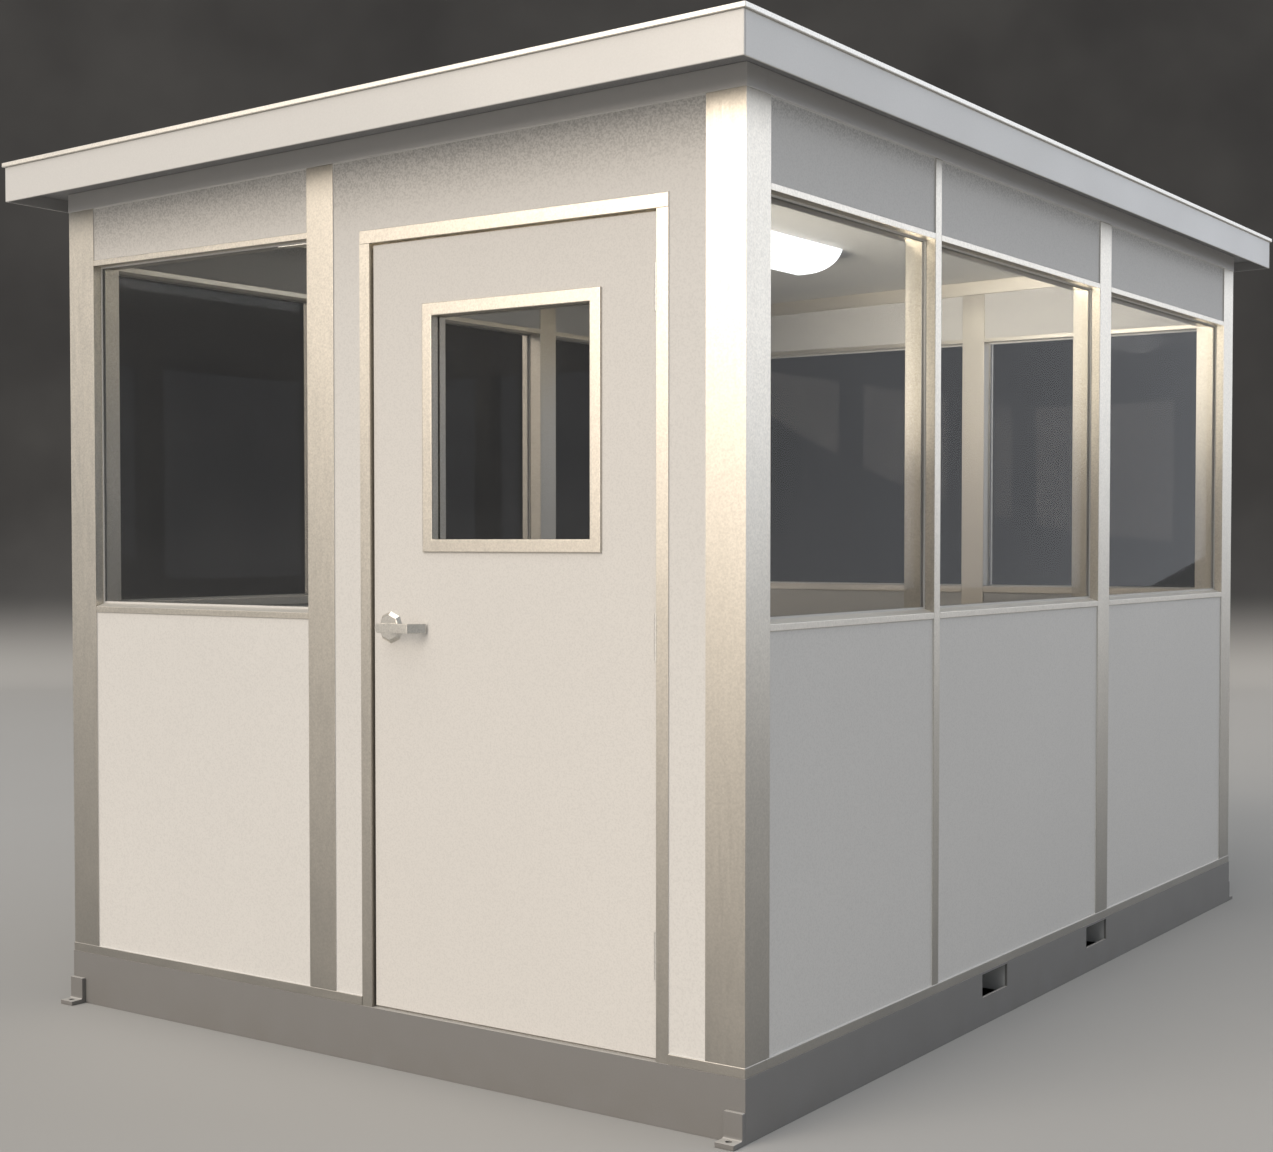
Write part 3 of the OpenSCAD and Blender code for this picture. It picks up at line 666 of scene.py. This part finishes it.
THRESHOLD_DEPTH, THRESHOLD_NOSE, THRESHOLD_END_GAP = 0.080, 0.006, 0.0025
THRESHOLD_EDGE, THRESHOLD_TOP, RIB_TOP = DECK_TOP + 0.0005, DECK_TOP + 0.0022, DECK_TOP + 0.0029
THRESHOLD_FRONT, THRESHOLD_LEFT = WALL_BACK - THRESHOLD_DEPTH, OPENING_LEFT + THRESHOLD_END_GAP
THRESHOLD_LENGTH = OPENING_RIGHT - OPENING_LEFT - 2 * THRESHOLD_END_GAP
RIB_COUNT, RIB_PITCH, FIRST_RIB = 11, 0.006, 0.009
RIB = [(0.0, THRESHOLD_TOP), (0.001, RIB_TOP), (0.0025, RIB_TOP), (0.0035, THRESHOLD_TOP)]


def threshold_section():
    """Outline of the threshold in Y and Z, from its front foot over the ribs to its back foot."""
    points = [(THRESHOLD_FRONT, DECK_TOP), (THRESHOLD_FRONT, THRESHOLD_EDGE),
              (THRESHOLD_FRONT + THRESHOLD_NOSE, THRESHOLD_TOP)]
    for i in range(RIB_COUNT):
        start = THRESHOLD_FRONT + FIRST_RIB + RIB_PITCH * i
        points += [(start + along, level) for along, level in RIB]
    points += [(WALL_BACK - THRESHOLD_NOSE, THRESHOLD_TOP), (WALL_BACK, THRESHOLD_EDGE),
               (WALL_BACK, DECK_TOP)]
    return points


bm = bmesh.new()
plate(bm, threshold_section(), [(0.0, 0.0), (0.0, THRESHOLD_LENGTH)],
      lambda u, v, height: (THRESHOLD_LEFT + height, u, v))
piece("threshold", bm, end_metal, "booth")


# Door sweep on the inside of the leaf: a screwed retainer and a rubber fin over the threshold

RETAINER_GAP, RETAINER_FOOT, RETAINER_HEIGHT, RETAINER_RISE = 0.0085, 0.009, 0.030, 0.0042
RETAINER_LEFT, RETAINER_RIGHT = STOP_LEFT + RETAINER_GAP, STOP_RIGHT - RETAINER_GAP
RETAINER_LOW = LEAF_LOW + RETAINER_FOOT
RETAINER = [(0.0, 0.0), (0.0, 0.0022), (0.003, 0.0030), (0.009, 0.0030), (0.012, RETAINER_RISE)]
FIN_INSET = 0.001
FIN = [(0.0012, 0.0145), (0.0006, 0.0060), (0.0009, 0.0038), (0.0016, 0.0036), (0.0022, 0.0060),
       (0.0028, 0.0145)]        # out from the leaf and up from the deck
SWEEP_SCREWS, SWEEP_SCREW_INSET = 6, 0.022


def sweep_screw_spots():
    """Places of the retainer's screws, evenly spaced along its raised middle."""
    first, last = RETAINER_LEFT + SWEEP_SCREW_INSET, RETAINER_RIGHT - SWEEP_SCREW_INSET
    pitch = (last - first) / (SWEEP_SCREWS - 1)
    level = RETAINER_LOW + RETAINER_HEIGHT / 2
    return [((first + pitch * i, LEAF_BACK + RETAINER_RISE, level), (0, 1, 0)) for i in range(SWEEP_SCREWS)]


bm = bmesh.new()
plate(bm, rectangle(RETAINER_LEFT, RETAINER_RIGHT, RETAINER_LOW, RETAINER_LOW + RETAINER_HEIGHT), RETAINER,
      lambda u, v, height: (u, LEAF_BACK + height, v))
piece("sweep_retainer", bm, end_metal, "door")

bm = bmesh.new()
plate(bm, FIN, [(0.0, RETAINER_LEFT + FIN_INSET), (0.0, RETAINER_RIGHT - FIN_INSET)],
      lambda u, v, height: (height, LEAF_BACK + u, DECK_TOP + v))
piece("sweep_fin", bm, black_rubber, "door")

bm = bmesh.new()
screw_heads(bm, sweep_screw_spots(), radius=0.0034, rise=0.0008)
piece("sweep_screws", bm, lock_metal, "door")


# Latch on the edge of the leaf and strike on the jamb, drawn round the lock's level

LOCK_SCREW, LOCK_SCREW_RISE = 0.0036, 0.0006
FACEPLATE = [(0.0, 0.0), (0.0, 0.0008), (0.0005, 0.0013)]
FACEPLATE_RISE = FACEPLATE[-1][1]
FACEPLATE_OUTLINE = rounded(0, 0, 0.027, 0.058, 0.004)
FACEPLATE_SCREWS = (-0.021, 0.021)
BOLT = [(-0.0075, 0.0), (-0.0075, 0.0036), (-0.0050, 0.0042), (0.0075, 0.0014), (0.0075, 0.0)]
BOLT_HALF, BOLT_FOOT = 0.0095, 0.0004
STRIKE = [(0.0, 0.0), (0.0, 0.0006), (0.0004, 0.0010)]
STRIKE_RISE = STRIKE[-1][1]
STRIKE_SCREWS = (-0.025, 0.025)
STRIKE_OUTLINE = rounded(0.004, 0, 0.036, 0.070, 0.005)
STRIKE_HOLE = rounded(0, 0, 0.019, 0.026, 0.003)
STRIKE_MOUTH, MOUTH_RISE = rounded(0, 0, 0.0188, 0.0258, 0.003), 0.0002


def on_leaf_edge(u, v, height):
    """Placer on the latch edge of the leaf: u is along Y and v along Z."""
    return (LEAF_LEFT - height, LEAF_MIDDLE + u, LOCK_LEVEL + v)


def on_jamb(u, v, height):
    """Placer on the jamb that the latch meets: u is along Y and v along Z."""
    return (OPENING_LEFT + height, LEAF_MIDDLE + u, LOCK_LEVEL + v)


bm = bmesh.new()
plate(bm, FACEPLATE_OUTLINE, FACEPLATE, on_leaf_edge)
screw_heads(bm, [(on_leaf_edge(0, v, FACEPLATE_RISE), (-1, 0, 0)) for v in FACEPLATE_SCREWS],
            LOCK_SCREW, LOCK_SCREW_RISE)
piece("latch_faceplate", bm, lock_metal, "door")

bm = bmesh.new()
plate(bm, BOLT, [(0.0, -BOLT_HALF), (0.0, BOLT_HALF)],
      lambda u, v, height: on_leaf_edge(u, height, v + BOLT_FOOT))
piece("latch_bolt", bm, lock_metal, "door")

bm = bmesh.new()
outer = rings(bm, STRIKE_OUTLINE, STRIKE, on_jamb)
inner = rings(bm, STRIKE_HOLE, [(0.0, STRIKE_RISE), (0.0, 0.0)], on_jamb)
tube(bm, outer + inner)
screw_heads(bm, [(on_jamb(0, v, STRIKE_RISE), (1, 0, 0)) for v in STRIKE_SCREWS],
            LOCK_SCREW, LOCK_SCREW_RISE)
piece("strike_plate", bm, lock_metal, "booth")

bm = bmesh.new()
plate(bm, STRIKE_MOUTH, [(0.0, 0.0), (0.0, MOUTH_RISE)], on_jamb)
piece("strike_mouth", bm, black_rubber, "booth")


# Screws in both leaves of each hinge, either side of the gap between the door and its frame

HINGE_FROM_FOOT, HINGE_FROM_TOP, HINGE_PLAY = 0.25, 0.18, 0.0002
HINGE_LEVELS = (LEAF_LOW + HINGE_FROM_FOOT, (LEAF_LOW + LEAF_HIGH) / 2, LEAF_HIGH - HINGE_FROM_TOP)
HINGE_GAP_MIDDLE = (LEAF_RIGHT + OPENING_RIGHT) / 2
# Depth behind the front of the leaf and height over the middle of the hinge
HINGE_SCREWS = ((0.0205, -0.044), (0.031, -0.018), (0.031, 0.018), (0.0205, 0.044))


def hinge_screw_spots(side):
    """Places of the screws on the frame's leaves (1) or the door's leaves (-1)."""
    face = HINGE_GAP_MIDDLE + side * HINGE_PLAY
    return [((face, LEAF_FRONT + depth, level + rise), (-side, 0, 0))
            for level in HINGE_LEVELS for depth, rise in HINGE_SCREWS]


for name, side, body in (("hinge_screws_frame", 1, "booth"), ("hinge_screws_door", -1, "door")):
    bm = bmesh.new()
    screw_heads(bm, hinge_screw_spots(side), radius=0.0036, rise=0.00015)
    piece(name, bm, lock_metal, body)


# Lap strips with rivets across the roof sheets

TILT = math.atan(ROOF_SLOPE)
UP_SLOPE = Vector((math.cos(TILT), 0, math.sin(TILT)))
OFF_ROOF = Vector((-math.sin(TILT), 0, math.cos(TILT)))
LAP_PLACES = (-0.654, 0.654)
LAP_HALF_LENGTH, LAP_HALF_WIDTH, LAP_RISE = 1.292, 0.03, 0.0016
LAP = [(0.0, 0.0), (0.0, 0.0006), (0.002, LAP_RISE)]
RIVET = [(0.0, 0.0), (0.0004, 0.0008), (0.0016, 0.0016), (0.0030, 0.0019)]
RIVETS_IN_ROW, RIVET_PITCH, RIVET_RADIUS = 18, 0.145, 0.0042
RIVET_ROWS = (-0.018, 0.018)


def on_roof(u, v, height):
    """Placer on the sloping top of the roof: u is up the slope from X = 0 and v is Y."""
    return Vector((0, v, CAP_TOP)) + u * UP_SLOPE + height * OFF_ROOF


bm = bmesh.new()
for y in LAP_PLACES:
    strip = rectangle(-LAP_HALF_LENGTH, LAP_HALF_LENGTH, y - LAP_HALF_WIDTH, y + LAP_HALF_WIDTH)
    plate(bm, strip, LAP, on_roof)
piece("roof_laps", bm, cap_metal, "booth")

bm = bmesh.new()
rivet_on_lap = [(inset, LAP_RISE + rise) for inset, rise in RIVET]
first_rivet = -RIVET_PITCH * (RIVETS_IN_ROW - 1) / 2
for y in LAP_PLACES:
    for i in range(RIVETS_IN_ROW):
        for row in RIVET_ROWS:
            plate(bm, circle(first_rivet + RIVET_PITCH * i, y + row, RIVET_RADIUS), rivet_on_lap, on_roof)
piece("roof_rivets", bm, lock_metal, "booth")


# Studio lamps: a wide warm key from the front, soft light from above and a cool fill from the rear right

def lamp_object(name, data, towards, place):
    """Links a lamp; towards points from what it lights to the lamp."""
    obj = bpy.data.objects.new(name, data)
    obj.rotation_euler = towards.to_track_quat("Z", "Y").to_euler()
    obj.location = place
    bpy.context.scene.collection.objects.link(obj)
    return obj


def sun(name, bearing, elevation, spread, strength, colour):
    """A far, wide source; bearing is degrees from -Y towards -X."""
    lamp = bpy.data.lights.new(name, "SUN")
    lamp.energy = strength
    lamp.angle = math.radians(spread)
    lamp.color = colour
    turn, rise = math.radians(bearing), math.radians(elevation)
    towards = Vector((-math.sin(turn) * math.cos(rise), -math.cos(turn) * math.cos(rise), math.sin(rise)))
    lamp_object(name, lamp, towards, 8 * towards)


def room_lamp(place, towards, width, height, power, spread, colour):
    """A soft lamp inside the front wall that lights the back of the room and isn't seen by the camera."""
    lamp = bpy.data.lights.new("room", "AREA")
    lamp.shape = "RECTANGLE"
    lamp.size, lamp.size_y = width, height
    lamp.energy = power
    lamp.color = colour
    lamp.spread = math.radians(spread)
    lamp_object("room", lamp, towards, place).visible_camera = False


sun("key", bearing=18, elevation=22, spread=44, strength=1.82, colour=(1.0, 0.88, 0.75))
sun("top", bearing=0, elevation=66, spread=56, strength=1.35, colour=(1.0, 0.96, 0.91))
sun("fill", bearing=-146, elevation=24, spread=58, strength=0.82, colour=(0.86, 0.905, 1.0))
room_lamp(place=(0.35, -1.66, 1.90), towards=Vector((0, -1, -0.32)), width=1.4, height=0.75, power=15.0,
          spread=44, colour=(1.0, 0.93, 0.80))


# Studio floor: pale, and turned up into a dark backdrop behind the booth

FLOOR_LEVEL = -0.0005
FLOOR, BACKDROP, FLOOR_CLOUD = (0.38, 0.375, 0.365), (0.027, 0.027, 0.028), (0.30, 0.30, 0.29)
BACKDROP_FROM = 0.9             # level above which the backdrop is fully dark


def floor_profile(reach, wall, radius, height, steps=12):
    """Points along the line of sight: flat floor, a quarter turn and an upright wall."""
    profile = [(-reach, 0.0), (wall - radius, 0.0)]
    for i in range(1, steps + 1):
        turn = math.pi / 2 * i / steps
        profile.append((wall - radius + radius * math.sin(turn), radius - radius * math.cos(turn)))
    profile.append((wall, height))
    return profile


def floor_finish():
    """Matt floor paint that darkens up the backdrop, with faint clouds."""
    finish = Finish("studio_floor", FLOOR, 0.8)
    finish.tint(finish.step(finish.split.outputs["Z"], 0.0, BACKDROP_FROM), BACKDROP)
    finish.tint(finish.ramp(finish.noise(0.7, detail=3), 0.0, 0.08), FLOOR_CLOUD)
    return finish.material


def studio_floor(reach, wall, width, radius, height, bearing):
    """Floor that turns up into a wall across the camera's line of sight, with flat wings beside it."""
    away = Vector((-math.sin(bearing), math.cos(bearing), 0))
    across = Vector((away.y, -away.x, 0))
    profile = floor_profile(reach, wall, radius, height)
    points, faces = [], []
    for along, up in profile:
        for side in (-width, width):
            points.append(away * along + across * side + Vector((0, 0, up + FLOOR_LEVEL)))
    for i in range(len(profile) - 1):
        faces.append((2 * i, 2 * i + 1, 2 * i + 3, 2 * i + 2))
    for side in (-1, 1):
        start = len(points)
        for along, out in ((-reach, width), (reach, width), (reach, reach), (-reach, reach)):
            points.append(away * along + across * side * out + Vector((0, 0, FLOOR_LEVEL)))
        faces.append(tuple(range(start, start + 4)))
    mesh = bpy.data.meshes.new("floor")
    mesh.from_pydata([tuple(p) for p in points], [], faces)
    for face in mesh.polygons:
        face.use_smooth = True
    mesh.materials.append(floor_finish())
    obj = bpy.data.objects.new("floor", mesh)
    bpy.context.scene.collection.objects.link(obj)


studio_floor(reach=45, wall=13, width=7.6, radius=2, height=8.5, bearing=math.radians(34.9))

world = bpy.data.worlds.new("studio")
bpy.context.scene.world = world
world.use_nodes = True
background = world.node_tree.nodes["Background"]
background.inputs["Color"].default_value = (0.90, 0.95, 1.0, 1.0)
background.inputs["Strength"].default_value = 0.34

bpy.context.scene.view_settings.view_transform = "Standard"


# Camera fitted to the photograph

CAMERA_PLACE = (3.4471, -5.4671, 1.4023)
CAMERA_BEARING, CAMERA_DIP = 34.9176, 1.6383      # degrees left of +Y and below the horizon

camera = bpy.data.cameras.new("camera")
camera.sensor_fit = "HORIZONTAL"
camera.sensor_width = 36.0
camera.lens = 52.79
camera.shift_x = 0.00157
camera.shift_y = 0.01445
camera.clip_end = 200
camera_object = bpy.data.objects.new("camera", camera)
camera_object.location = CAMERA_PLACE
camera_object.rotation_euler = (math.radians(90 - CAMERA_DIP), 0.0, math.radians(CAMERA_BEARING))
bpy.context.scene.collection.objects.link(camera_object)
bpy.context.scene.camera = camera_object
